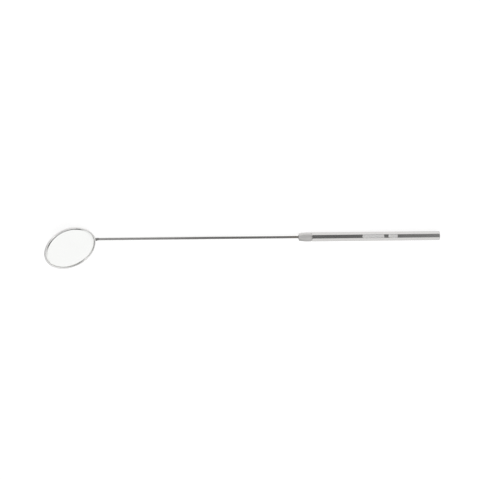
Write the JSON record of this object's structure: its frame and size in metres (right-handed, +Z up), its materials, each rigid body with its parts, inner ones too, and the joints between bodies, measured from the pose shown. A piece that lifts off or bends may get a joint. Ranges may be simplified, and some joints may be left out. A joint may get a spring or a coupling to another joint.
{
  "type": "mouth mirror",
  "caption": "Round tilted examination mirror in a rolled metal bezel, on a long wire stem that screws into a slim octagonal handle.",
  "frame": {"origin": "below the middle of the whole length, at the height of the flat that the handle lies on", "axes": "+X from the handle to the mirror, along the handle's axis; +Z up, out of the side that the mirror faces; the mirror's symmetry plane is XZ"},
  "size_m": [0.2084, 0.0284, 0.0151],
  "materials": {
    "plated_bezel": "bright nickel plate, rolled edge",
    "plated_cup": "bright nickel plate with spinning marks",
    "mirror_glass": "clear, polished, with a ground bevel",
    "silvering": "silvered, optically smooth",
    "backing_lacquer": "red-brown lacquer",
    "cushion_card": "plain pressed card",
    "edge_cement": "white sealing cement",
    "drawn_wire": "drawn and polished stainless wire",
    "silver_solder": "silver solder, as it flowed",
    "turned_steel": "turned and satin polished",
    "thread_steel": "cut thread",
    "spring_steel": "stamped",
    "ground_steel": "ground flats, polished along their length",
    "bush_brass": "turned brass",
    "plug_steel": "faced end"
  },
  "bodies": {
    "handle": {"handle_tube": "ground_steel", "threaded_bush": "bush_brass", "end_plug": "plug_steel"},
    "washer": {"lock_washer": "spring_steel"},
    "mirror_head": {"bezel_ring": "plated_bezel", "back_cup": "plated_cup", "mirror_glass": "mirror_glass", "silver_layer": "silvering", "backing_lacquer": "backing_lacquer", "cushion_disc": "cushion_card", "edge_seal": "edge_cement", "stem_wire": "drawn_wire", "solder_joint": "silver_solder", "nose_cone": "turned_steel", "stem_braze": "silver_solder", "thread_stud": "thread_steel"}
  },
  "joints": [
    {"name": "screw_travel", "type": "slide", "parent": "handle", "child": "washer", "axis": [1, 0, 0], "range_m": [0, 0.00315]},
    {"name": "screw_turn", "type": "hinge", "parent": "washer", "child": "mirror_head", "pos_m": [-0.0364, 0, 0.00242], "axis": [1, 0, 0], "range_deg": [0, 2520]}
  ],
  "couplings": [
    {"joint": "screw_travel", "follows": "screw_turn", "m_per_rad": 0.00007162}
  ]
}
